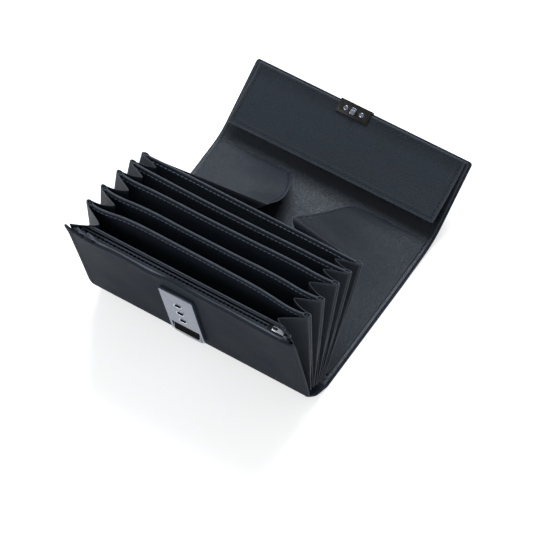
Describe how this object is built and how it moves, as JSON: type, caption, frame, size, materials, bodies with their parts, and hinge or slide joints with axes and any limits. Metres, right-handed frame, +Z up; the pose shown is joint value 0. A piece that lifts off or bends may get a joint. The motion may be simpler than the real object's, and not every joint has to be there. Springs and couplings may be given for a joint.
{
  "type": "waiters wallet",
  "caption": "Open waiter's wallet in dark leather: fanned note compartments with side pleats, a coin compartment, a zip pocket, a folding flap and a metal slide lock.",
  "frame": {"origin": "middle of the back cover's underside, on the surface that the wallet rests on", "axes": "+X along the wallet's width, +Y from the folded bottom edge to the flap, +Z up from the back cover"},
  "size_m": [0.18, 0.2417, 0.1114],
  "materials": {
    "outer_leather": "fine pebbled grain, semi-matt",
    "inner_leather": "smooth, semi-matt, turned and stitched edges",
    "smooth_lining": "smooth, soft sheen",
    "zip_tape": "woven tape",
    "black_metal": "black oxide",
    "chrome": "bright plated",
    "steel": "plain plated"
  },
  "bodies": {
    "back": {"back_cover": "outer_leather", "coin_pocket_lining": "smooth_lining", "left_coin_gusset_back_leaf": "smooth_lining", "right_coin_gusset_back_leaf": "smooth_lining"},
    "bottom": {"bottom_strip": "outer_leather"},
    "front": {"front_cover": "outer_leather", "zip_pocket_partition": "inner_leather", "zip_tape_front": "zip_tape", "zip_tape_rear": "zip_tape", "zip_teeth_front": "black_metal", "zip_teeth_rear": "black_metal", "zip_stop_left": "black_metal", "zip_stop_right": "black_metal", "lock_base_plate": "steel", "lock_housing": "chrome", "lock_spring": "steel", "lock_backing_plate": "steel", "lock_rivet_1": "steel", "lock_rivet_2": "steel", "lock_rivet_3": "steel", "lock_rivet_4": "steel"},
    "slider": {"zip_slider": "steel"},
    "puller": {"zip_puller": "steel"},
    "lock_slide": {"lock_thumb_slide": "chrome", "lock_latch_plate": "steel"},
    "divider_1": {"divider_1": "inner_leather", "left_pleat_1": "inner_leather", "right_pleat_1": "inner_leather"},
    "divider_2": {"divider_2": "inner_leather", "left_pleat_2": "inner_leather", "right_pleat_2": "inner_leather"},
    "divider_3": {"divider_3": "inner_leather", "left_pleat_3": "inner_leather", "right_pleat_3": "inner_leather"},
    "divider_4": {"divider_4": "inner_leather", "left_pleat_4": "inner_leather", "right_pleat_4": "inner_leather"},
    "rear_divider": {"rear_divider": "inner_leather", "left_pleat_5": "inner_leather", "right_pleat_5": "inner_leather", "left_coin_gusset_front_leaf": "smooth_lining", "right_coin_gusset_front_leaf": "smooth_lining"},
    "band": {"spine_band": "outer_leather", "spine_band_lining": "smooth_lining"},
    "flap": {"flap_cover": "outer_leather", "flap_lining": "smooth_lining", "inner_panel_seam": "inner_leather", "strike_plate": "chrome", "strike_rivet_left": "chrome", "strike_rivet_right": "chrome", "strike_hook": "chrome"},
    "inner_panel": {"inner_flap_panel": "inner_leather"}
  },
  "joints": [
    {"name": "bottom_fold", "type": "hinge", "parent": "back", "child": "bottom", "pos_m": [0, -0.05175, 0.0025], "axis": [-1, 0, 0], "range_deg": [0, 59.6], "deforming": ["left_coin_gusset_back_leaf", "right_coin_gusset_back_leaf"]},
    {"name": "front_fold", "type": "hinge", "parent": "bottom", "child": "front", "pos_m": [0, -0.07116, 0.01389], "axis": [-1, 0, 0], "range_deg": [0, 37.11]},
    {"name": "divider_1_fold", "type": "hinge", "parent": "front", "child": "divider_1", "pos_m": [0, -0.09871, 0.01244], "axis": [-1, 0, 0], "range_deg": [-5.71, 0], "deforming": ["left_pleat_1", "right_pleat_1"]},
    {"name": "divider_2_fold", "type": "hinge", "parent": "divider_1", "child": "divider_2", "pos_m": [0, -0.07896, 0.01586], "axis": [-1, 0, 0], "range_deg": [-7.31, 0], "deforming": ["left_pleat_2", "right_pleat_2"]},
    {"name": "divider_3_fold", "type": "hinge", "parent": "divider_2", "child": "divider_3", "pos_m": [0, -0.0699, 0.01285], "axis": [-1, 0, 0], "range_deg": [-8.41, 0], "deforming": ["left_pleat_3", "right_pleat_3"]},
    {"name": "divider_4_fold", "type": "hinge", "parent": "divider_3", "child": "divider_4", "pos_m": [0, -0.06396, 0.01039], "axis": [-1, 0, 0], "range_deg": [-7.01, 0], "deforming": ["left_pleat_4", "right_pleat_4"]},
    {"name": "rear_divider_fold", "type": "hinge", "parent": "divider_4", "child": "rear_divider", "pos_m": [0, -0.05729, 0.00713], "axis": [-1, 0, 0], "range_deg": [-6.31, 0], "deforming": ["left_pleat_5", "right_pleat_5", "left_coin_gusset_front_leaf", "right_coin_gusset_front_leaf"]},
    {"name": "flap_fold", "type": "hinge", "parent": "back", "child": "band", "pos_m": [0, 0.05175, 0.0025], "axis": [1, 0, 0], "range_deg": [0, 86]},
    {"name": "flap_end_fold", "type": "hinge", "parent": "band", "child": "flap", "pos_m": [0, 0.09315, 0.00539], "axis": [1, 0, 0], "range_deg": [0, 60.51]},
    {"name": "inner_panel_lift", "type": "hinge", "parent": "flap", "child": "inner_panel", "pos_m": [0, 0.13369, 0.03415], "axis": [1, 0, 0], "range_deg": [0, 10.01]},
    {"name": "zip_slide", "type": "slide", "parent": "front", "child": "slider", "axis": [-1, 0, 0], "range_m": [0, 0.14]},
    {"name": "puller_swing", "type": "hinge", "parent": "slider", "child": "puller", "pos_m": [0.0697, -0.0896, 0.10357], "axis": [0, -0.9715, -0.2368], "range_deg": [0, 75]},
    {"name": "lock_press", "type": "slide", "parent": "front", "child": "lock_slide", "axis": [0, 0.2368, -0.9715], "range_m": [0, 0.003], "stiffness_N_per_m": 300, "springref_m": -0.001}
  ],
  "couplings": [
    {"joint": "front_fold", "follows": "bottom_fold", "ratio": 0.62248},
    {"joint": "divider_1_fold", "follows": "bottom_fold", "ratio": -0.095638},
    {"joint": "divider_2_fold", "follows": "bottom_fold", "ratio": -0.12248},
    {"joint": "divider_3_fold", "follows": "bottom_fold", "ratio": -0.14094},
    {"joint": "divider_4_fold", "follows": "bottom_fold", "ratio": -0.11745},
    {"joint": "rear_divider_fold", "follows": "bottom_fold", "ratio": -0.1057},
    {"joint": "flap_end_fold", "follows": "flap_fold", "ratio": 0.70349},
    {"joint": "inner_panel_lift", "follows": "flap_fold", "ratio": 0.11628}
  ]
}
